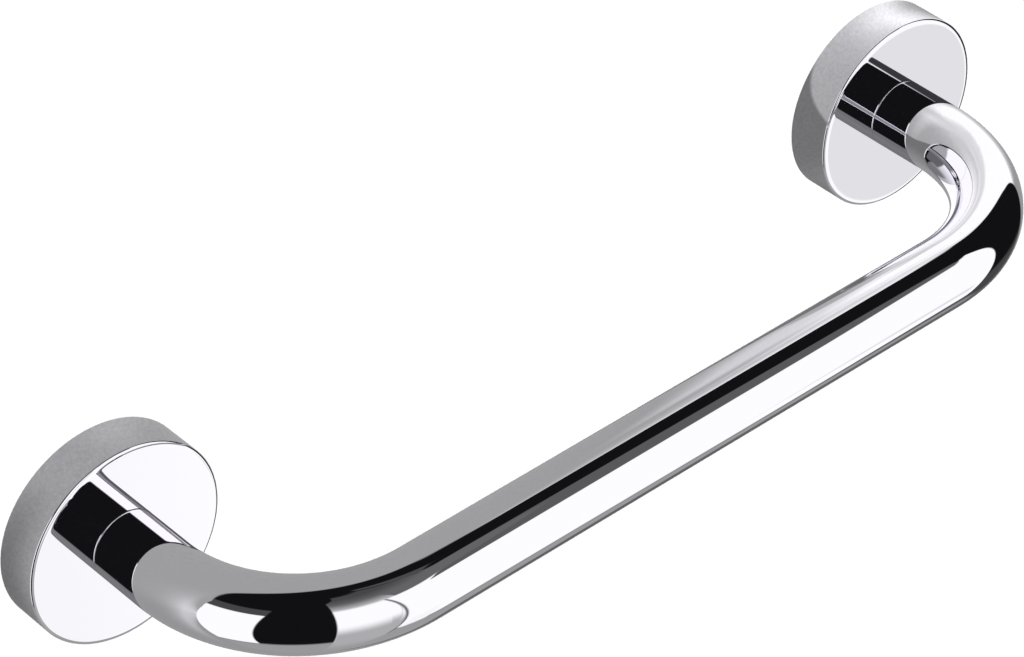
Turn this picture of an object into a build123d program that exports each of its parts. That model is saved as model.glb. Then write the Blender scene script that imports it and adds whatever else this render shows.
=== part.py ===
from build123d import *
import os

# Wall-mounted bath grab bar: a bent chrome tube on two round rosettes, with the
# concealed plates and screws that hold it. Millimetres. The wall is the plane
# Y = 0, the bar runs along X and stands out towards -Y, and +Z is up. The origin
# is on the wall, midway between the rosettes.

# Bar
post_spacing = 300.0  # centre to centre of the rosettes
projection = 80.5  # wall to the bar's centre line
tube_diameter = 22.2
tube_wall = 1.5
bend_radius = 49.0  # at the tube's centre line
tube_end_chamfer = 0.4

# Rosettes, the cups that hide the wall plates
rosette_diameter = 64.0
rosette_depth = 14.5
rosette_rim = 3.5
rosette_face = 4.0
rosette_edge_round = 0.8
rosette_wall_chamfer = 0.3
cup_corner_chamfer = 0.8

# Brass plugs in the tube ends
plug_length = 15.0
plug_braze_gap = 0.05
plug_chamfer = 0.6
spigot_diameter = 11.0
spigot_length = 3.0
spigot_clearance = 0.1
plug_hole_floor = 2.0  # brass left behind the threaded hole

# Clamp screws, M8 with low cap heads, whose threads are plain cylinders
thread_gap = 0.05
screw_diameter = 8.0
screw_length = 20.0
screw_tip_chamfer = 1.0
head_diameter = 13.0
head_height = 5.0
head_chamfer = 0.6
head_hex = 5.0  # across flats
head_hex_depth = 2.8

# Washers under the clamp screws
washer_diameter = 16.0
washer_bore = 8.4
washer_thickness = 1.6
spring_diameter = 14.8
spring_bore = 8.2
spring_thickness = 2.0
spring_gap = 1.4
spring_gap_slant = 25.0  # degrees

# Wall plates
plate_clearance = 0.5  # round the plate, inside the cup
plate_thickness = 8.0
plate_chamfer = 0.8
plate_opening = 20.0  # clears the clamp screw's head
groove_depth = 2.0
groove_height = 4.5  # from the wall to the bottom of the V
groove_overcut = 0.5
wall_slot_width = 5.5
wall_slot_length = 10.0
wall_slot_spacing = 36.0
head_pocket_width = 11.0
head_pocket_length = 15.5
head_pocket_depth = 4.5

# Grub screws, M5, with 90 degree cone points
grub_diameter = 5.0
grub_length = 5.0
grub_back_chamfer = 0.4
grub_pull = 0.3  # sits this far outside the groove, to draw the cup to the wall
grub_hex = 2.5
grub_hex_depth = 2.0

# Sizes that follow from the ones above
half_spacing = post_spacing / 2
tube_radius = tube_diameter / 2
tube_bore = tube_radius - tube_wall
rosette_radius = rosette_diameter / 2
cup_radius = rosette_radius - rosette_rim
cup_depth = rosette_depth - rosette_face
spigot_hole = spigot_diameter / 2 + spigot_clearance
washer_seat = cup_depth - washer_thickness
screw_seat = washer_seat - spring_thickness
head_top = screw_seat - head_height
screw_radius = screw_diameter / 2
spring_mid_radius = (spring_diameter + spring_bore) / 4
spring_width = (spring_diameter - spring_bore) / 2
plate_radius = cup_radius - plate_clearance
groove_flank = groove_depth + groove_overcut
grub_radius = grub_diameter / 2
grub_height = groove_height + grub_pull
grub_tip = plate_radius - groove_depth + grub_pull
grub_back = grub_tip + grub_length

down = (0, 0, -1)

# Each end has a plane on the wall, with its normal towards the room
left_wall = Plane(origin=(-half_spacing, 0, 0), x_dir=(1, 0, 0), z_dir=(0, -1, 0))
right_wall = Plane(origin=(half_spacing, 0, 0), x_dir=(1, 0, 0), z_dir=(0, -1, 0))
ends = {"left": left_wall, "right": right_wall}
standing = (Align.CENTER, Align.CENTER, Align.MIN)
hanging = (Align.CENTER, Align.CENTER, Align.MAX)

os.makedirs("parts", exist_ok=True)

# The tube, swept along its centre line from one rosette's face to the other's
with BuildPart() as bar_tube:
    with BuildLine():
        FilletPolyline(
            (-half_spacing, -rosette_depth),
            (-half_spacing, -projection),
            (half_spacing, -projection),
            (half_spacing, -rosette_depth),
            radius=bend_radius,
        )
    with BuildSketch(left_wall.offset(rosette_depth)):
        Circle(tube_radius)
        Circle(tube_bore, mode=Mode.SUBTRACT)
    sweep()
    end_edges = bar_tube.edges().group_by(Axis.Y)[-1]
    chamfer(end_edges.sort_by(SortBy.RADIUS)[-2:], tube_end_chamfer)
bar_tube.part.label = "bar_tube"
export_step(bar_tube.part, "parts/bar_tube.step")

for side, wall in ends.items():
    end_x = wall.origin.X
    post_axis = Axis(wall.origin, wall.z_dir)
    rim_underside = Plane(origin=(end_x, -grub_height, -rosette_radius), z_dir=down)

    # A plug shoulders on the rosette's face and its spigot enters the face's hole
    with BuildPart() as end_plug:
        with Locations(wall.offset(rosette_depth)):
            Cylinder(tube_bore - plug_braze_gap, plug_length, align=standing)
            Cylinder(spigot_diameter / 2, spigot_length, align=hanging)
        chamfer(end_plug.edges().group_by(Axis.Y)[0], plug_chamfer)
        with Locations(wall.offset(rosette_depth - spigot_length)):
            Cylinder(
                screw_radius + thread_gap,
                spigot_length + plug_length - plug_hole_floor,
                align=standing,
                mode=Mode.SUBTRACT,
            )
    end_plug.part.label = f"{side}_end_plug"
    export_step(end_plug.part, f"parts/{side}_end_plug.step")

    # A rosette is a turned cup, open to the wall, with a grub screw hole below
    with BuildPart() as rosette:
        with BuildSketch(wall):
            Circle(rosette_radius)
        extrude(amount=rosette_depth)
        fillet(rosette.edges().group_by(Axis.Y)[0], rosette_edge_round)
        chamfer(rosette.edges().group_by(Axis.Y)[-1], rosette_wall_chamfer)
        with BuildSketch(wall):
            Circle(cup_radius)
        extrude(amount=cup_depth, mode=Mode.SUBTRACT)
        cup_corner = rosette.edges().filter_by_position(Axis.Y, -cup_depth, -cup_depth)
        chamfer(cup_corner, cup_corner_chamfer)
        with Locations(wall.offset(rosette_depth)):
            Hole(spigot_hole, depth=rosette_depth)
        with Locations(rim_underside):
            Hole(grub_radius + thread_gap, depth=rosette_rim + grub_radius)
    rosette.part.label = f"{side}_rosette"
    export_step(rosette.part, f"parts/{side}_rosette.step")

    # A wall plate takes two wall screws in slots, with pockets for their heads
    with BuildPart() as wall_plate:
        with BuildSketch(wall):
            Circle(plate_radius)
            Circle(plate_opening / 2, mode=Mode.SUBTRACT)
            with GridLocations(0, wall_slot_spacing, 1, 2):
                SlotOverall(wall_slot_length, wall_slot_width, mode=Mode.SUBTRACT)
        extrude(amount=plate_thickness)
        front_arcs = wall_plate.edges().group_by(Axis.Y)[0].filter_by(GeomType.CIRCLE)
        chamfer(front_arcs.sort_by(SortBy.RADIUS)[-1], plate_chamfer)
        with BuildSketch(wall.offset(plate_thickness)):
            with GridLocations(0, wall_slot_spacing, 1, 2):
                SlotOverall(head_pocket_length, head_pocket_width)
        extrude(amount=-head_pocket_depth, mode=Mode.SUBTRACT)
        with BuildSketch(Plane(wall.origin)):
            with BuildLine():
                Polyline(
                    (plate_radius - groove_depth, -groove_height),
                    (plate_radius + groove_overcut, -groove_height - groove_flank),
                    (plate_radius + groove_overcut, -groove_height + groove_flank),
                    close=True,
                )
            make_face()
        revolve(axis=post_axis, mode=Mode.SUBTRACT)
    wall_plate.part.label = f"{side}_wall_plate"
    export_step(wall_plate.part, f"parts/{side}_wall_plate.step")

# Plain washers lie on the rosettes' inner faces
with BuildPart() as plain_washers:
    with BuildSketch(*(wall.offset(washer_seat) for wall in ends.values())):
        Circle(washer_diameter / 2)
        Circle(washer_bore / 2, mode=Mode.SUBTRACT)
    extrude(amount=washer_thickness)
plain_washers.part.label = "plain_washers"
export_step(plain_washers.part, "parts/plain_washers.step")

# Spring washers, pressed flat, each split by a slanted cut
with BuildPart() as spring_washers:
    with BuildSketch(*(wall.offset(screw_seat) for wall in ends.values())):
        Circle(spring_diameter / 2)
        Circle(spring_bore / 2, mode=Mode.SUBTRACT)
    extrude(amount=spring_thickness)
    with Locations(*(wall.offset(screw_seat) for wall in ends.values())):
        with Locations((0, spring_mid_radius, spring_thickness / 2)):
            Box(
                spring_gap,
                spring_width * 2,
                spring_thickness * 2,
                rotation=(0, spring_gap_slant, 0),
                mode=Mode.SUBTRACT,
            )
spring_washers.part.label = "spring_washers"
export_step(spring_washers.part, "parts/spring_washers.step")

# Clamp screws, driven from the wall side through the washers into the plugs
with BuildPart() as clamp_screws:
    with Locations(*(wall.offset(screw_seat) for wall in ends.values())):
        Cylinder(screw_radius, screw_length, align=standing)
        Cylinder(head_diameter / 2, head_height, align=hanging)
    chamfer(clamp_screws.edges().group_by(Axis.Y)[0], screw_tip_chamfer)
    chamfer(clamp_screws.edges().group_by(Axis.Y)[-1], head_chamfer)
    with BuildSketch(*(wall.offset(head_top) for wall in ends.values())):
        RegularPolygon(head_hex / 2, 6, major_radius=False)
    extrude(amount=head_hex_depth, mode=Mode.SUBTRACT)
clamp_screws.part.label = "clamp_screws"
export_step(clamp_screws.part, "parts/clamp_screws.step")

# Grub screws stand in the rims' undersides with their points in the plates' grooves
with BuildPart() as grub_screws:
    for wall in ends.values():
        tip_point = (wall.origin.X, -grub_height, -grub_tip)
        with BuildSketch(Plane(origin=tip_point, x_dir=(1, 0, 0), z_dir=(0, 1, 0))):
            with BuildLine():
                Polyline(
                    (0, 0),
                    (grub_radius, grub_radius),
                    (grub_radius, grub_length - grub_back_chamfer),
                    (grub_radius - grub_back_chamfer, grub_length),
                    (0, grub_length),
                    close=True,
                )
            make_face()
        revolve(axis=Axis(tip_point, down))
        back_point = (wall.origin.X, -grub_height, -grub_back)
        with BuildSketch(Plane(origin=back_point, z_dir=down)):
            RegularPolygon(grub_hex / 2, 6, major_radius=False)
        extrude(amount=-grub_hex_depth, mode=Mode.SUBTRACT)
grub_screws.part.label = "grub_screws"
export_step(grub_screws.part, "parts/grub_screws.step")
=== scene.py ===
import math

import bmesh
import bpy
from mathutils import Matrix, Vector


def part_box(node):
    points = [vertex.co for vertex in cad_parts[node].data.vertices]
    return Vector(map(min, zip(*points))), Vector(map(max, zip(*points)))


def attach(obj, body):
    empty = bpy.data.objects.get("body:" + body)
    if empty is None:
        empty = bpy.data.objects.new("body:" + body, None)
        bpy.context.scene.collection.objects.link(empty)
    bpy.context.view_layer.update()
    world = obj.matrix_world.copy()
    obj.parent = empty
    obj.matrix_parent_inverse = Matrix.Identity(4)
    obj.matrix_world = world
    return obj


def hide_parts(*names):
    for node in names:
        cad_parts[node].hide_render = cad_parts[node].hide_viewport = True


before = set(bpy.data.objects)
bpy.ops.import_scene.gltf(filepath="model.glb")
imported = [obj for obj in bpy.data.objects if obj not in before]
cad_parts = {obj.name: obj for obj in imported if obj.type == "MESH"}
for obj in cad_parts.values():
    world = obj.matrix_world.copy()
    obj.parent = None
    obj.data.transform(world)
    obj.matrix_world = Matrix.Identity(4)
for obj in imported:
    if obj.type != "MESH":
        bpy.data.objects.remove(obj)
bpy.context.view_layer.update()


# Wall plates
# A round steel plate behind each rosette, pressed and zinc plated. Two wall screws hold it
# by its slots, and the rosette's grub screw bites into the groove round its edge.


def linear(code):
    """Turns an sRGB hex colour into Blender's linear RGBA."""
    parts = [int(code[i : i + 2], 16) / 255 for i in (1, 3, 5)]
    light = [v / 12.92 if v <= 0.04045 else ((v + 0.055) / 1.055) ** 2.4 for v in parts]
    return (*light, 1.0)


def add_node(tree, kind, inputs=(), **settings):
    """Adds a node; inputs maps a socket's name or number to a value or to the socket to link."""
    node = tree.nodes.new(kind)
    for name, value in settings.items():
        setattr(node, name, value)
    for key, value in dict(inputs).items():
        if isinstance(value, bpy.types.NodeSocket):
            tree.links.new(value, node.inputs[key])
        else:
            node.inputs[key].default_value = value
    return node


def new_material(name):
    """A material with a shader and its output: returns the material, its tree and the shader."""
    material = bpy.data.materials.new(name)
    material.use_nodes = True
    tree = material.node_tree
    return material, tree, tree.nodes["Principled BSDF"]


# Bright zinc on steel is a cool grey metal. Plating leaves soft-edged crystals a few
# millimetres wide, which differ a little in tone and gloss.
zinc_crystal = 0.0022  # metres
zinc_grain = 0.0003
zinc_relief = 0.00005
zinc_tones = ("#A9AFB6", "#C3C8CC")
zinc_roughness = (0.28, 0.42)
zinc, tree, shader = new_material("zinc_plated_steel")
place = add_node(tree, "ShaderNodeTexCoord").outputs["Object"]
crystals = add_node(
    tree,
    "ShaderNodeTexVoronoi",
    {"Vector": place, "Scale": 1 / zinc_crystal},
    feature="SMOOTH_F1",
)
tint = add_node(tree, "ShaderNodeValToRGB", {"Fac": crystals.outputs["Color"]})
for stop, tone in zip(tint.color_ramp.elements, zinc_tones):
    stop.color = linear(tone)
gloss = add_node(
    tree,
    "ShaderNodeMapRange",
    {
        "Value": crystals.outputs["Distance"],
        "To Min": zinc_roughness[0],
        "To Max": zinc_roughness[1],
    },
)
grain = add_node(tree, "ShaderNodeTexNoise", {"Vector": place, "Scale": 1 / zinc_grain})
relief = add_node(
    tree,
    "ShaderNodeBump",
    {"Height": grain.outputs["Fac"], "Strength": 0.12, "Distance": zinc_relief},
)
tree.links.new(tint.outputs["Color"], shader.inputs["Base Color"])
tree.links.new(gloss.outputs["Result"], shader.inputs["Roughness"])
tree.links.new(relief.outputs["Normal"], shader.inputs["Normal"])
shader.inputs["Metallic"].default_value = 1.0
for side in ("left", "right"):
    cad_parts[f"{side}_wall_plate"].material_slots[0].material = zinc


# Rosettes
# The two round cups that hide the wall plates: turned from brass, polished and chrome
# plated. Each is open to the wall, with a threaded hole for its grub screw underneath.

# Chrome plate is a slightly blue mirror. Polishing leaves patches a few centimetres wide
# that are a touch hazier than the rest.
haze_patch = 0.025
chrome_tone = "#EAE9EE"
chrome_roughness = (0.008, 0.025)
noise_band = (0.3, 0.7)  # where most of a noise texture's values lie
chrome, tree, shader = new_material("polished_chrome_plate")
place = add_node(tree, "ShaderNodeTexCoord").outputs["Object"]
haze = add_node(
    tree, "ShaderNodeTexNoise", {"Vector": place, "Scale": 1 / haze_patch, "Detail": 3.0}
)
gloss = add_node(
    tree,
    "ShaderNodeMapRange",
    {
        "Value": haze.outputs["Fac"],
        "From Min": noise_band[0],
        "From Max": noise_band[1],
        "To Min": chrome_roughness[0],
        "To Max": chrome_roughness[1],
    },
)
tree.links.new(gloss.outputs["Result"], shader.inputs["Roughness"])
shader.inputs["Base Color"].default_value = linear(chrome_tone)
shader.inputs["Metallic"].default_value = 1.0

rosette_low, rosette_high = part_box("left_rosette")
rosette_radius = (rosette_high.x - rosette_low.x) / 2
rosette_depth = rosette_high.y - rosette_low.y
rosette_edge_roll = 0.0042  # along the section, from the flat face to the rim
roll_steps = 40
roll_power = 6  # the polish takes little off the face and most at the corner
wall_chamfer = 0.0003
rosette_rim = 0.0035
rosette_face = 0.004
cup_radius = rosette_radius - rosette_rim
cup_depth = rosette_depth - rosette_face
cup_corner = 0.0008
spigot_hole = 0.0056
grub_hole = 0.00255
grub_height = 0.0048  # off the wall
drill_sides = 48
drill_overrun = 2 * grub_hole  # past each side of the rim
support = 0.00003  # a loop this close to the edge keeps the face and the rim true
turns = 256
sharp_angle = math.radians(28)


def rolled_edge(length):
    """A polished edge that turns faster and faster through a right angle: (along, down) points."""
    points = [(0.0, 0.0)]
    for step in range(roll_steps):
        turn = math.radians(90) * ((step + 0.5) / roll_steps) ** roll_power
        along, down = points[-1]
        along += length / roll_steps * math.cos(turn)
        down += length / roll_steps * math.sin(turn)
        points.append((along, down))
    return points


# The cup's section as radius and height off the wall, once round from the spigot hole
face_roll = rolled_edge(rosette_edge_roll)
face_edge = rosette_radius - face_roll[-1][0]
section = [
    (spigot_hole, cup_depth),
    (spigot_hole, rosette_depth),
    (face_edge - support, rosette_depth),
]
section += [(face_edge + along, rosette_depth - down) for along, down in face_roll]
rim_top = section[-1][1]
section += [
    (rosette_radius, rim_top - support),
    (rosette_radius, wall_chamfer),
    (rosette_radius - wall_chamfer, 0.0),
    (cup_radius, 0.0),
    (cup_radius, cup_depth - cup_corner),
    (cup_radius - cup_corner, cup_depth),
]


def finish_mesh(piece, material):
    """Swaps a piece's live modifiers for the mesh that they make, smooth between its edges."""
    evaluated = piece.evaluated_get(bpy.context.evaluated_depsgraph_get())
    mesh = bpy.data.meshes.new_from_object(evaluated)
    piece.modifiers.clear()
    piece.data = mesh
    mesh.materials.clear()
    mesh.materials.append(material)
    mesh.shade_smooth()
    mesh.set_sharp_from_angle(angle=sharp_angle)


for side in ("left", "right"):
    low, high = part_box(f"{side}_rosette")
    axis_x = (low.x + high.x) / 2
    cup = bmesh.new()
    rings = []
    for radius, height in section:
        ring = []
        for turn in range(turns):
            angle = math.tau * turn / turns
            x = axis_x + radius * math.cos(angle)
            z = radius * math.sin(angle)
            ring.append(cup.verts.new((x, -height, z)))
        rings.append(ring)
    for inner, outer in zip(rings, rings[1:] + rings[:1]):
        for turn in range(turns):
            after = (turn + 1) % turns
            cup.faces.new((inner[turn], outer[turn], outer[after], inner[after]))
    bmesh.ops.recalc_face_normals(cup, faces=cup.faces)
    mesh = bpy.data.meshes.new(f"{side}_cup")
    cup.to_mesh(mesh)
    cup.free()
    rosette = bpy.data.objects.new(f"{side}_cup", mesh)
    bpy.context.scene.collection.objects.link(rosette)

    drill = bmesh.new()
    bmesh.ops.create_cone(
        drill,
        cap_ends=True,
        segments=drill_sides,
        radius1=grub_hole,
        radius2=grub_hole,
        depth=rosette_rim + 2 * drill_overrun,
        matrix=Matrix.Translation((axis_x, -grub_height, -(rosette_radius + cup_radius) / 2)),
    )
    drill_mesh = bpy.data.meshes.new(f"{side}_grub_drill")
    drill.to_mesh(drill_mesh)
    drill.free()
    drill_tool = bpy.data.objects.new(f"{side}_grub_drill", drill_mesh)
    bpy.context.scene.collection.objects.link(drill_tool)
    cut = rosette.modifiers.new("grub hole", "BOOLEAN")
    cut.object = drill_tool
    cut.operation = "DIFFERENCE"
    cut.solver = "EXACT"
    finish_mesh(rosette, chrome)
    bpy.data.objects.remove(drill_tool)

    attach(rosette, "root")
    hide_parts(f"{side}_rosette")


# End plugs
# Turned brass plugs brazed into the ends of the tube. A spigot on each enters the rosette's
# face, and the clamp screw threads into its bore.

# Freshly turned brass is warm and bright, with the tool's fine rings across it and a little
# brown where it was handled.
tool_ring = 0.00025
tool_ring_depth = 0.00003
brass_stain = 0.004
brass_tones = ((0.35, "#B98F4C"), (0.7, "#DDBB78"))  # places on the stain's ramp
brass_roughness = 0.26
wave_repeat = math.tau / 20  # a wave texture of scale 1 repeats after this length
brass, tree, shader = new_material("turned_brass")
place = add_node(tree, "ShaderNodeTexCoord").outputs["Object"]
stain = add_node(
    tree, "ShaderNodeTexNoise", {"Vector": place, "Scale": 1 / brass_stain, "Detail": 4.0}
)
tint = add_node(tree, "ShaderNodeValToRGB", {"Fac": stain.outputs["Fac"]})
for stop, (position, tone) in zip(tint.color_ramp.elements, brass_tones):
    stop.position = position
    stop.color = linear(tone)
tool_rings = add_node(
    tree,
    "ShaderNodeTexWave",
    {"Vector": place, "Scale": wave_repeat / tool_ring, "Distortion": 0.0},
    bands_direction="Y",
)
relief = add_node(
    tree,
    "ShaderNodeBump",
    {"Height": tool_rings.outputs["Fac"], "Strength": 0.25, "Distance": tool_ring_depth},
)
tree.links.new(tint.outputs["Color"], shader.inputs["Base Color"])
tree.links.new(relief.outputs["Normal"], shader.inputs["Normal"])
shader.inputs["Metallic"].default_value = 1.0
shader.inputs["Roughness"].default_value = brass_roughness
for side in ("left", "right"):
    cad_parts[f"{side}_end_plug"].material_slots[0].material = brass


# Bar tube
# One drawn brass tube, bent square near both ends, polished and chrome plated like the
# rosettes. Its rolled ends stand on the rosettes' faces.
tube_low, tube_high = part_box("bar_tube")
tube_diameter = tube_high.z - tube_low.z
tube_radius = tube_diameter / 2
tube_wall = 0.0015
tube_end_roll = 0.0010  # along the section, from the side to the end face
tube_end_chamfer = 0.0003  # inside
bend_radius = 0.049  # at the centre line
post_spacing = tube_high.x - tube_low.x - tube_diameter
post_half = post_spacing / 2
projection = -tube_low.y - tube_radius
tube_start = -tube_high.y
tube_sides = 144
tube_rings = 220
bend_points = 48

# The tube's rule: a circle follows a line of three straight runs with rounded corners
rule = bpy.data.node_groups.new("bent_tube_rule", "GeometryNodeTree")
socket_ids = {}
tube_inputs = {
    "Post spacing": post_spacing,
    "Projection": projection,
    "Start": tube_start,
    "Bend radius": bend_radius,
    "Tube radius": tube_radius,
}
for name in tube_inputs:
    socket = rule.interface.new_socket(name, in_out="INPUT", socket_type="NodeSocketFloat")
    socket_ids[name] = socket.identifier
rule.interface.new_socket("Geometry", in_out="OUTPUT", socket_type="NodeSocketGeometry")
sizes = add_node(rule, "NodeGroupInput").outputs
half = add_node(
    rule, "ShaderNodeMath", {0: sizes["Post spacing"], 1: 0.5}, operation="MULTIPLY"
).outputs[0]
corners = []
for sign, reach in ((-1.0, "Start"), (-1.0, "Projection"), (1.0, "Projection"), (1.0, "Start")):
    x = add_node(rule, "ShaderNodeMath", {0: half, 1: sign}, operation="MULTIPLY")
    y = add_node(rule, "ShaderNodeMath", {0: sizes[reach], 1: -1.0}, operation="MULTIPLY")
    corners.append(
        add_node(rule, "ShaderNodeCombineXYZ", {"X": x.outputs[0], "Y": y.outputs[0]}).outputs[0]
    )
runs = add_node(
    rule,
    "GeometryNodeCurvePrimitiveQuadrilateral",
    {f"Point {i + 1}": corner for i, corner in enumerate(corners)},
    mode="POINTS",
)
opened = add_node(
    rule, "GeometryNodeSetSplineCyclic", {"Geometry": runs.outputs[0], "Cyclic": False}
)
bends = add_node(
    rule,
    "GeometryNodeFilletCurve",
    {"Curve": opened.outputs[0], "Radius": sizes["Bend radius"], "Count": bend_points},
    mode="POLY",
)
stations = add_node(
    rule,
    "GeometryNodeResampleCurve",
    {"Curve": bends.outputs[0], "Count": tube_rings},
    mode="COUNT",
)
circle = add_node(
    rule,
    "GeometryNodeCurvePrimitiveCircle",
    {"Resolution": tube_sides, "Radius": sizes["Tube radius"]},
    mode="RADIUS",
)
skin = add_node(
    rule,
    "GeometryNodeCurveToMesh",
    {"Curve": stations.outputs[0], "Profile Curve": circle.outputs[0]},
)
whole = add_node(rule, "GeometryNodeRealizeInstances", {"Geometry": skin.outputs[0]})
plated = add_node(
    rule, "GeometryNodeSetMaterial", {"Geometry": whole.outputs[0], "Material": chrome}
)
add_node(rule, "NodeGroupOutput", {"Geometry": plated.outputs[0]})

bar_tube = bpy.data.objects.new("bent_tube", bpy.data.meshes.new("bent_tube"))
bpy.context.scene.collection.objects.link(bar_tube)
bending = bar_tube.modifiers.new("bending", "NODES")
bending.node_group = rule
for name, size in tube_inputs.items():
    bending[socket_ids[name]] = size
thickness = bar_tube.modifiers.new("wall", "SOLIDIFY")
thickness.thickness = tube_wall
thickness.offset = -1.0
thickness.use_even_offset = True
finish_mesh(bar_tube, chrome)

# The tube's ends have a polished roll outside and a small chamfer inside
bore_limit = tube_radius - tube_wall * 3 / 4  # the bore's wall lies nearer the axis than this
side_limit = tube_radius - tube_wall / 4  # and the polished side lies farther out than this
same_plane = 1e-6
tube = bmesh.new()
tube.from_mesh(bar_tube.data)
inner_ends = []
for edge in tube.edges:
    if all(abs(vert.co.y - tube_high.y) < same_plane for vert in edge.verts):
        middle = (edge.verts[0].co + edge.verts[1].co) / 2
        off_axis = math.hypot(abs(middle.x) - post_half, middle.z)
        if off_axis < bore_limit:
            inner_ends.append(edge)
bmesh.ops.bevel(
    tube, geom=inner_ends, offset=tube_end_chamfer, segments=1, profile=0.5, affect="EDGES"
)

# Rings are cut in where the roll has its points, and each is drawn in towards the post's axis
end_roll = rolled_edge(tube_end_roll)
roll_reach = end_roll[-1][0]
for along, down in end_roll[:-1]:
    bmesh.ops.bisect_plane(
        tube,
        geom=tube.verts[:] + tube.edges[:] + tube.faces[:],
        plane_co=(0.0, tube_high.y - roll_reach + along, 0.0),
        plane_no=(0.0, 1.0, 0.0),
    )
for vert in tube.verts:
    from_end = tube_high.y - vert.co.y
    axis_x = math.copysign(post_half, vert.co.x)
    off_axis = math.hypot(vert.co.x - axis_x, vert.co.z)
    if from_end > roll_reach or off_axis < side_limit:
        continue
    down = min(end_roll, key=lambda point: abs(roll_reach - point[0] - from_end))[1]
    vert.co.x = axis_x + (vert.co.x - axis_x) * (1 - down / off_axis)
    vert.co.z *= 1 - down / off_axis
tube.to_mesh(bar_tube.data)
tube.free()
bar_tube.data.shade_smooth()
bar_tube.data.set_sharp_from_angle(angle=sharp_angle)
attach(bar_tube, "root")
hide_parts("bar_tube")


# Clamp screws, washers and grub screws
# A cap screw of stainless steel, driven from the wall side, pulls each rosette against the
# tube's end plug, through a plain washer and a split spring washer. A cone-point grub screw
# under each rim bites into the wall plate's groove.

# Stainless fasteners are a warm grey metal with faint rings from facing and rolling.
facing_ring = 0.0004
facing_depth = 0.00004
steel_smudge = 0.003
steel_tone = "#C9C5C0"
steel_roughness = (0.18, 0.36)
stainless, tree, shader = new_material("plain_stainless_steel")
place = add_node(tree, "ShaderNodeTexCoord").outputs["Object"]
folded = add_node(tree, "ShaderNodeVectorMath", {0: place}, operation="ABSOLUTE")
centred = add_node(
    tree,
    "ShaderNodeMapping",
    {"Vector": folded.outputs[0], "Location": (-post_half, 0.0, 0.0)},
)
facing = add_node(
    tree,
    "ShaderNodeTexWave",
    {
        "Vector": centred.outputs[0],
        "Scale": wave_repeat / facing_ring,
        "Distortion": 0.6,
        "Detail": 2.0,
    },
    wave_type="RINGS",
    rings_direction="Y",
)
relief = add_node(
    tree,
    "ShaderNodeBump",
    {"Height": facing.outputs["Fac"], "Strength": 0.2, "Distance": facing_depth},
)
smudge = add_node(tree, "ShaderNodeTexNoise", {"Vector": place, "Scale": 1 / steel_smudge})
gloss = add_node(
    tree,
    "ShaderNodeMapRange",
    {
        "Value": smudge.outputs["Fac"],
        "To Min": steel_roughness[0],
        "To Max": steel_roughness[1],
    },
)
tree.links.new(gloss.outputs["Result"], shader.inputs["Roughness"])
tree.links.new(relief.outputs["Normal"], shader.inputs["Normal"])
shader.inputs["Base Color"].default_value = linear(steel_tone)
shader.inputs["Metallic"].default_value = 1.0
for name in ("clamp_screws", "plain_washers", "spring_washers", "grub_screws"):
    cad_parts[name].material_slots[0].material = stainless


# Camera
# It stands to the left of the bar and above it, and looks down along it. Its place and its
# lens were fitted to the bar's outline in the photograph.
aim = Vector((-0.0425, -0.0530, 0.0403))
distance = 1.13
azimuth = math.radians(-40.58)
elevation = math.radians(38.44)
roll = math.radians(1.18)
sensor_width = 36.0  # millimetres, for lens lengths
lens = 144.25

back = Vector(
    (
        math.sin(azimuth) * math.cos(elevation),
        -math.cos(azimuth) * math.cos(elevation),
        math.sin(elevation),
    )
)
level_right = Vector((0, 0, 1)).cross(back).normalized()
level_up = back.cross(level_right)
right = math.cos(roll) * level_right - math.sin(roll) * level_up
up = math.cos(roll) * level_up + math.sin(roll) * level_right
camera_data = bpy.data.cameras.new("camera")
camera_data.sensor_width = sensor_width
camera_data.lens = lens
camera = bpy.data.objects.new("camera", camera_data)
bpy.context.scene.collection.objects.link(camera)
camera_axes = Matrix((right, up, back)).transposed()
camera.matrix_world = Matrix.Translation(aim + back * distance) @ camera_axes.to_4x4()
bpy.context.scene.camera = camera
bpy.context.scene.view_settings.view_transform = "Standard"


# Studio cards
# White and grey cards and black flags stand round the bar, far off, and show only in its
# metal. Each card is a window in degrees: longitude from +X towards +Y, and latitude.
card_light = 1.2  # makes a card's tone show as written in chrome that reflects 83 percent
later_gain = 0.2  # makes up for some of what a second bounce takes away
soft_light_tone = 0.45  # on what isn't a mirror
backdrop_tone = 0.75  # what a camera sees past the floor
curtain = "#111113"

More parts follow.
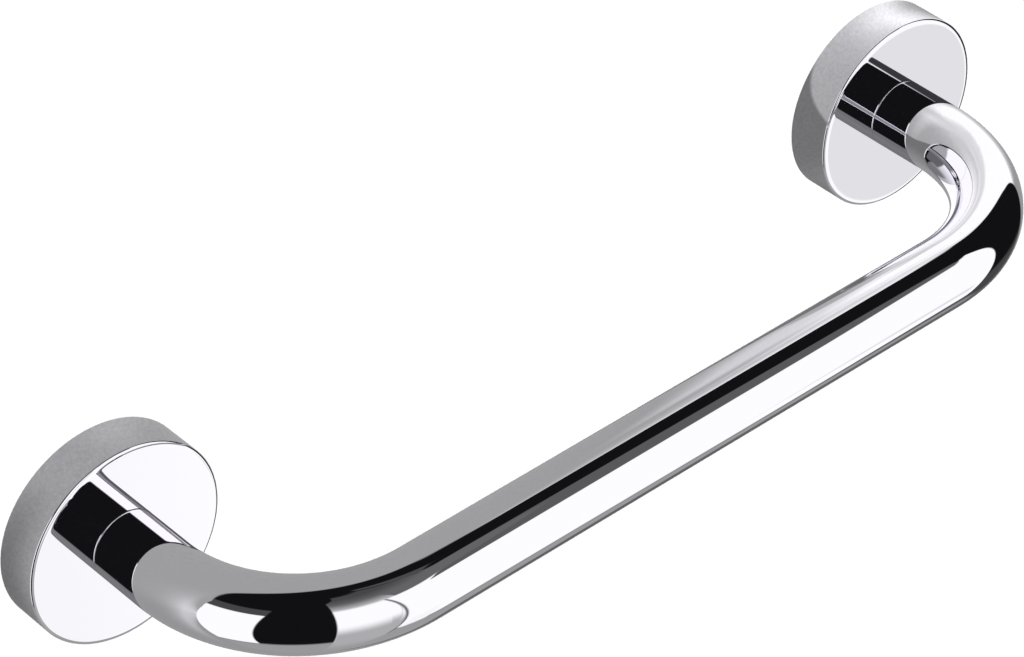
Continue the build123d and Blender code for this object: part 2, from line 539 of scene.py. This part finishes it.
# Each card lies over those above it in this list. Its lean moves its sides for each degree of
# latitude, and its slope moves its top and bottom for each degree of longitude.
cards = (
    # name, west, east, lean, low, high, slope, side edge, top edge, tone, bounces that see it
    ("room behind", 25, 155, 0, -85, 20, 0, 12, 12, "#8E9093", "all"),
    ("window behind", 60, 120, 0, -42, 4, 0, 16, 12, "#F4F4F4", "all"),
    ("floor sweep", -180, 540, 0, -130, -50.5, 0, 1, 8, "#999999", "all"),
    ("floor shade", -4, 45, 0, -66, -44, 0, 8, 8, "#646464", "all"),
    ("left back card", 150, 206, 0.075, -50, 35, 0, 1.2, 3, "#FEFEFE", "all"),
    ("left back shade", 170, 209, 0, 35, 50, 0, 1.5, 3, "#454545", "all"),
    ("ceiling", -115.5, -30.5, 0, 38, 80, 0, 1.2, 4, "#464646", "first"),
    ("ceiling front", -115.5, -30.5, 0, 30, 64, 0, 1.2, 22, "#646464", "first"),
    ("front left glow", -115.5, -79, 0, 20, 50, 0, 1.2, 22, "#B9B9B9", "first"),
    ("front left card", -115.5, -84, 0, -52, 42, 0, 1.2, 8, "#FEFEFE", "all"),
    ("front left skirt", -115.5, -84, 0, -70, -18, 0, 1.2, 32, "#ACACAC", "all"),
    ("front right card", -84, -30.5, 0, -50, 41.5, 0, 1.2, 3, "#FEFEFE", "all"),
    ("front right shade", -75, -56.5, 0, -52, -36, 0, 4, 4, "#F8F8F8", "first"),
    ("skirt at the joint", -90, -82.5, -0.07, -70, -18, 0, 1.2, 32, "#ACACAC", "first"),
    ("front right corner", -46.5, -39.5, 0, -38, -32, 0, 3, 3, "#E2E2E2", "all"),
    ("upper right strip", -112.5, -96.6, 1.46, 23.4, 54, -0.22, 1.5, 1.5, "#595959", "first"),
    ("right of the ceiling", -53, 20, 0.4, 42, 61, 0, 1.2, 1.5, curtain, "first"),
    ("ceiling over the left bend", -85, -65, 0.8, 61, 80, 0, 2, 2, "#4A4A4A", "first"),
    ("left of the ceiling", -300, -201, 1.3, 55, 90, 0, 3, 3, curtain, "first"),
    ("low right shade", -29.5, 14, 0, -50, -31, 0, 1.5, 8, "#444444", "all"),
    ("shade beside the posts", -53, -30, 0, -31, -12, 0, 5, 4, "#565656", "later"),
    ("flag over the posts", -125, -10, 0, 38, 90, 0, 2, 3, curtain, "later"),
    ("flag at the upper right", 8, 150, -1.85, 10, 60, 0, 4, 3, curtain, "later"),
    ("flag beside the posts", -37, 0, 0, -40, 60, 0, 2, 3, "#363638", "later"),
    ("low end of the front card", -131, -108, 0, -27, 2, 0, 3, 4, "#636363", "later"),
    ("high end of the front card", -131, -110, 0, 2, 26, 0, 3, 4, "#A5A5A5", "later"),
    ("shade under the posts", -210, -47, 0, -120, -41, 0, 3, 2, "#707070", "later"),
    ("shade before the far bend", -117.5, -91, 0, -60, -27, 0, 2, 10, "#767676", "later"),
    ("joint of the front cards", -83.1, -81.6, -0.07, -58, 42, 0, 1.5, 4, "#5F5F5F", "first"),
)

world = bpy.data.worlds.new("studio")
bpy.context.scene.world = world
world.use_nodes = True
tree = world.node_tree
tree.nodes.clear()
direction = add_node(
    tree, "ShaderNodeSeparateXYZ", {0: add_node(tree, "ShaderNodeTexCoord").outputs["Generated"]}
).outputs
degrees = math.degrees(1)
turn = add_node(
    tree, "ShaderNodeMath", {0: direction["Y"], 1: direction["X"]}, operation="ARCTAN2"
)
longitude = add_node(
    tree, "ShaderNodeMath", {0: turn.outputs[0], 1: degrees}, operation="MULTIPLY"
).outputs[0]
rise = add_node(tree, "ShaderNodeMath", {0: direction["Z"]}, operation="ARCSINE")
latitude = add_node(
    tree, "ShaderNodeMath", {0: rise.outputs[0], 1: degrees}, operation="MULTIPLY"
).outputs[0]
path = add_node(tree, "ShaderNodeLightPath").outputs

# The glossy depth is 1 where metal shows the studio, and more where it shows other metal
later = add_node(
    tree, "ShaderNodeMath", {0: path["Glossy Depth"], 1: 1.5}, operation="GREATER_THAN"
).outputs[0]
first = add_node(tree, "ShaderNodeMath", {0: 1.0, 1: later}, operation="SUBTRACT").outputs[0]


def card_side(angle, low, high, soft):
    """1 between two angles and 0 outside them, with a soft edge: returns the socket."""
    middle = (low + high) / 2
    reach = (high - low) / 2
    off = add_node(tree, "ShaderNodeMath", {0: angle, 1: middle}, operation="SUBTRACT").outputs[0]
    off = add_node(
        tree, "ShaderNodeMath", {0: off, 1: 180.0, 2: -180.0}, operation="WRAP"
    ).outputs[0]
    off = add_node(tree, "ShaderNodeMath", {0: off}, operation="ABSOLUTE").outputs[0]
    return add_node(
        tree,
        "ShaderNodeMapRange",
        {
            "Value": off,
            "From Min": reach - soft / 2,
            "From Max": reach + soft / 2,
            "To Min": 1.0,
            "To Max": 0.0,
        },
        interpolation_type="SMOOTHSTEP",
    ).outputs["Result"]


seen = linear(curtain)
for name, west, east, lean, low, high, slope, side_edge, top_edge, tone, bounces in cards:
    upright = longitude
    if lean:
        upright = add_node(
            tree, "ShaderNodeMath", {0: latitude, 1: -lean, 2: longitude}, operation="MULTIPLY_ADD"
        ).outputs[0]
    across = card_side(upright, west, east, side_edge)
    level = latitude
    if slope:
        level = add_node(
            tree, "ShaderNodeMath", {0: longitude, 1: -slope, 2: latitude}, operation="MULTIPLY_ADD"
        ).outputs[0]
    upwards = card_side(level, low, high, top_edge)
    cover = add_node(
        tree, "ShaderNodeMath", {0: across, 1: upwards}, operation="MULTIPLY"
    ).outputs[0]
    if bounces != "all":
        only = first if bounces == "first" else later
        cover = add_node(
            tree, "ShaderNodeMath", {0: cover, 1: only}, operation="MULTIPLY"
        ).outputs[0]
    seen = add_node(
        tree, "ShaderNodeMix", {0: cover, 6: seen, 7: linear(tone)}, data_type="RGBA", label=name
    ).outputs[2]

glow = add_node(
    tree,
    "ShaderNodeMath",
    {0: later, 1: card_light * later_gain, 2: card_light},
    operation="MULTIPLY_ADD",
)
cards_glow = add_node(tree, "ShaderNodeBackground", {"Color": seen, "Strength": glow.outputs[0]})
soft_light = add_node(
    tree, "ShaderNodeBackground", {"Color": (1, 1, 1, 1), "Strength": soft_light_tone}
)
backdrop = add_node(
    tree, "ShaderNodeBackground", {"Color": (1, 1, 1, 1), "Strength": backdrop_tone}
)
lit = add_node(
    tree,
    "ShaderNodeMixShader",
    {0: path["Is Glossy Ray"], 1: soft_light.outputs[0], 2: cards_glow.outputs[0]},
)
shown = add_node(
    tree,
    "ShaderNodeMixShader",
    {0: path["Is Camera Ray"], 1: lit.outputs[0], 2: backdrop.outputs[0]},
)
add_node(tree, "ShaderNodeOutputWorld", {"Surface": shown.outputs[0]})


# Board
# The pale plastered board that the bar hangs on. It shows only in the metal, as a glow with painted
# light from the upper right and a painted shadow of the bar below, and it is open behind the two
# rosettes.
board_tone = 0.615  # sRGB, from 0 to 1
board_gap = 0.0012
board_reach = 1.6
plaster_grain = 0.0015
plaster_contrast = 0.04
display_gamma = 2.2  # from the patches' tones to light
mouth_edge = 0.0001
rosette_mouth = rosette_radius + mouth_edge

# Patches of painted light and painted shade lie on the board's glow in this order: its pools of
# light, glints off the rims and shadows are painted into its tone, not cast. An edge is a line,
# measured along x and z, or a ring round a point, and runs from where the patch ends to where it is
# full.
painted_light_and_shade = (
    # name, how it is laid, amount, edges
    ("darker below", "adds", -0.04, (("line", 0, 1, 0.0, -0.06),)),
    (
        "glow at the far left",
        "adds",
        0.2,
        (("line", 1, 0, -0.2, -0.5), ("line", 0, 1, 0.35, 0.0), ("line", 0, 1, -0.55, -0.05)),
    ),
    # Painted light, brighter to the right: no lamp lights the board, which only glows.
    (
        "broad painted light",
        "adds",
        0.32,
        (("line", 1, -0.15, 0.03, 0.33), ("line", 0, 1, -0.06, 0.06)),
    ),
    (
        "light beside the right rosette",
        "adds",
        0.17,
        (("line", 1, 0, 0.115, 0.18), ("line", 0, 1, 0.0, 0.035), ("line", 0, 1, 0.26, 0.17)),
    ),
    (
        "pool of light before it",
        "adds",
        0.18,
        (
            ("line", 1, 0, 0.035, 0.085),
            ("line", 0, 1, -0.03, 0.05),
            ("line", 0, 1, 0.16, 0.09),
            ("ring", post_half, 0, 0.055, 0.064),
        ),
    ),
    (
        "shade over the right rosette",
        "adds",
        -0.26,
        (
            ("line", 1, 0, 0.142, 0.165),
            ("line", 1, 0, 0.225, 0.195),
            ("line", 0, 1, 0.048, 0.066),
            ("line", 0, 1, 0.088, 0.070),
        ),
    ),
    (
        "light off the right rim",
        "adds",
        0.13,
        (("ring", 0.162, 0.040, 0.03, 0.0), ("line", 0, 1, 0.052, 0.040)),
    ),
    ("light off the left rim", "adds", 0.06, (("ring", -0.139, 0.032, 0.02, 0.0),)),
    (
        "shade beside the left rosette",
        "adds",
        -0.21,
        (("ring", -post_half, 0, 0.052, 0.03), ("line", -0.985, -0.174, 0.15975, 0.18575)),
    ),
    (
        "shade beside the right rosette",
        "adds",
        -0.27,
        (("ring", post_half, 0, 0.048, 0.033), ("line", 0.866, -0.5, 0.1179, 0.1359)),
    ),
    (
        "shadow of the right rosette",
        "covers",
        0.445,
        (
            ("line", -0.578, 1, -0.0472, -0.0500),
            ("line", 1, 0, 0.142, 0.128),
            ("line", 0, 1, -0.07, -0.01),
        ),
    ),
    ("dark foot", "covers", 0.36, (("line", 0, 1, -0.15, -0.3), ("line", 1, 0, 0.0, 0.12))),
)

# Where the board leaves off, and the curtain behind it shows
board_openings = (
    (
        "above",
        "covers",
        0.0,
        (
            ("line", 0, 1, 0.25, 0.29),
            ("line", -1.45, 1, 0.2065, 0.2465),
            ("line", 0.6, 1, 0.118, 0.158),
        ),
    ),
    ("over the top", "covers", 0.0, (("line", 0, 1, 0.57, 0.61),)),
    (
        "to the right",
        "covers",
        0.0,
        (("line", 0.44, 1, 0.415, 0.455), ("line", 1.67, -1, 0.23, 0.27)),
    ),
    ("past the end", "covers", 0.0, (("line", 1, 0.25, 0.60, 0.64),)),
    ("left rosette", "covers", 0.0, (("ring", -post_half, 0, rosette_mouth, rosette_radius),)),
    ("right rosette", "covers", 0.0, (("ring", post_half, 0, rosette_mouth, rosette_radius),)),
)

board_look = bpy.data.materials.new("plastered_board")
board_look.use_nodes = True
tree = board_look.node_tree
tree.nodes.clear()
spot = add_node(tree, "ShaderNodeTexCoord").outputs["Object"]


def soft_patch(edges):
    """1 where a spot is inside all the edges and 0 outside them: returns the socket."""
    inside = 1.0
    for shape, x, z, end, full in edges:
        if shape == "line":
            measure = {0: spot, 1: (x, 0.0, z)}
            reach = add_node(tree, "ShaderNodeVectorMath", measure, operation="DOT_PRODUCT")
        else:
            measure = {0: spot, 1: (x, board_gap, z)}
            reach = add_node(tree, "ShaderNodeVectorMath", measure, operation="DISTANCE")
        edge = add_node(
            tree,
            "ShaderNodeMapRange",
            {"Value": reach.outputs["Value"], "From Min": end, "From Max": full},
            interpolation_type="SMOOTHSTEP",
        )
        both = {0: edge.outputs["Result"], 1: inside}
        inside = add_node(tree, "ShaderNodeMath", both, operation="MULTIPLY").outputs[0]
    return inside


def lay_patches(level, patches):
    """Lays the patches over a level, each adding to it or covering it: returns the socket."""
    for name, way, amount, edges in patches:
        patch = soft_patch(edges)
        if way == "adds":
            mix = {0: patch, 1: amount, 2: level}
            laid = add_node(tree, "ShaderNodeMath", mix, operation="MULTIPLY_ADD", label=name)
        else:
            laid = add_node(tree, "ShaderNodeMix", {0: patch, 2: level, 3: amount}, label=name)
        level = laid.outputs[0]
    return level


# The board's glowing tone, with its painted light, painted shade and painted shadows laid on
tone = lay_patches(board_tone, painted_light_and_shade)
tone = add_node(tree, "ShaderNodeMath", {0: tone, 1: 1.0}, operation="MINIMUM").outputs[0]
plaster = add_node(
    tree, "ShaderNodeTexNoise", {"Vector": spot, "Scale": 1 / plaster_grain, "Detail": 4.0}
)
speckle = add_node(
    tree,
    "ShaderNodeMapRange",
    {
        "Value": plaster.outputs["Fac"],
        "From Min": noise_band[0],
        "From Max": noise_band[1],
        "To Min": 1 - plaster_contrast,
        "To Max": 1 + plaster_contrast,
    },
).outputs["Result"]
tone = add_node(tree, "ShaderNodeMath", {0: tone, 1: speckle}, operation="MULTIPLY").outputs[0]
light = add_node(
    tree, "ShaderNodeMath", {0: tone, 1: display_gamma}, operation="POWER"
).outputs[0]
glow = add_node(
    tree, "ShaderNodeMath", {0: light, 1: card_light}, operation="MULTIPLY"
).outputs[0]
cover = lay_patches(1.0, board_openings)
clear = add_node(tree, "ShaderNodeBsdfTransparent")
glowing = add_node(tree, "ShaderNodeEmission", {"Strength": glow})
board_surface = add_node(
    tree, "ShaderNodeMixShader", {0: cover, 1: clear.outputs[0], 2: glowing.outputs[0]}
)
add_node(tree, "ShaderNodeOutputMaterial", {"Surface": board_surface.outputs[0]})

board_mesh = bpy.data.meshes.new("board")
board_mesh.from_pydata(
    [
        (-board_reach, board_gap, -board_reach),
        (board_reach, board_gap, -board_reach),
        (board_reach, board_gap, board_reach),
        (-board_reach, board_gap, board_reach),
    ],
    [],
    [(0, 1, 2, 3)],
)
board_mesh.materials.append(board_look)
board = bpy.data.objects.new("board", board_mesh)
bpy.context.scene.collection.objects.link(board)
board.visible_camera = False
board.visible_diffuse = False
board.visible_shadow = False
board.visible_transmission = False


# Floor
# A plain pale floor well below the bar, white under it and a little greyer farther off. It
# takes the bar's soft shadow, and the metal shows the floor sweep of the studio in its place.
floor_height = -0.55
floor_reach = 6.0
white_reach = 1.2  # the floor is lifted to white up to here
pale_reach = 2.4  # and is plain paint from here on
white_lift = 0.28
floor_tone = "#E8E8E8"
floor_look = bpy.data.materials.new("pale_floor")
floor_look.use_nodes = True
tree = floor_look.node_tree
tree.nodes.clear()
paint = add_node(tree, "ShaderNodeBsdfDiffuse", {"Color": linear(floor_tone)})
path = add_node(tree, "ShaderNodeLightPath").outputs
spot = add_node(tree, "ShaderNodeTexCoord").outputs["Object"]
away = add_node(tree, "ShaderNodeVectorMath", {0: spot}, operation="LENGTH").outputs["Value"]
whiter = add_node(
    tree,
    "ShaderNodeMapRange",
    {
        "Value": away,
        "From Min": white_reach,
        "From Max": pale_reach,
        "To Min": white_lift,
        "To Max": 0.0,
    },
    interpolation_type="SMOOTHSTEP",
).outputs["Result"]
lift = add_node(
    tree, "ShaderNodeMath", {0: path["Is Camera Ray"], 1: whiter}, operation="MULTIPLY"
)
glow = add_node(tree, "ShaderNodeEmission", {"Strength": lift.outputs[0]})
painted = add_node(tree, "ShaderNodeAddShader", {0: paint.outputs[0], 1: glow.outputs[0]})
under = add_node(tree, "ShaderNodeNewGeometry").outputs["Backfacing"]
clear = add_node(tree, "ShaderNodeBsdfTransparent")
floor_surface = add_node(
    tree, "ShaderNodeMixShader", {0: under, 1: painted.outputs[0], 2: clear.outputs[0]}
)
add_node(tree, "ShaderNodeOutputMaterial", {"Surface": floor_surface.outputs[0]})
floor_mesh = bpy.data.meshes.new("floor")
floor_mesh.from_pydata(
    [
        (-floor_reach, -floor_reach, floor_height),
        (floor_reach, -floor_reach, floor_height),
        (floor_reach, floor_reach, floor_height),
        (-floor_reach, floor_reach, floor_height),
    ],
    [],
    [(0, 1, 2, 3)],
)
floor_mesh.materials.append(floor_look)
floor = bpy.data.objects.new("floor", floor_mesh)
bpy.context.scene.collection.objects.link(floor)
floor.visible_glossy = False


# Lamp
# One broad soft light overhead, for the floor and the bar's shadow on it. The metal doesn't
# show it.
overhead_strength = 1.5
overhead_spread = math.radians(30)
overhead_data = bpy.data.lights.new("overhead", "SUN")
overhead_data.energy = overhead_strength
overhead_data.angle = overhead_spread
overhead = bpy.data.objects.new("overhead", overhead_data)
bpy.context.scene.collection.objects.link(overhead)
overhead.visible_glossy = False
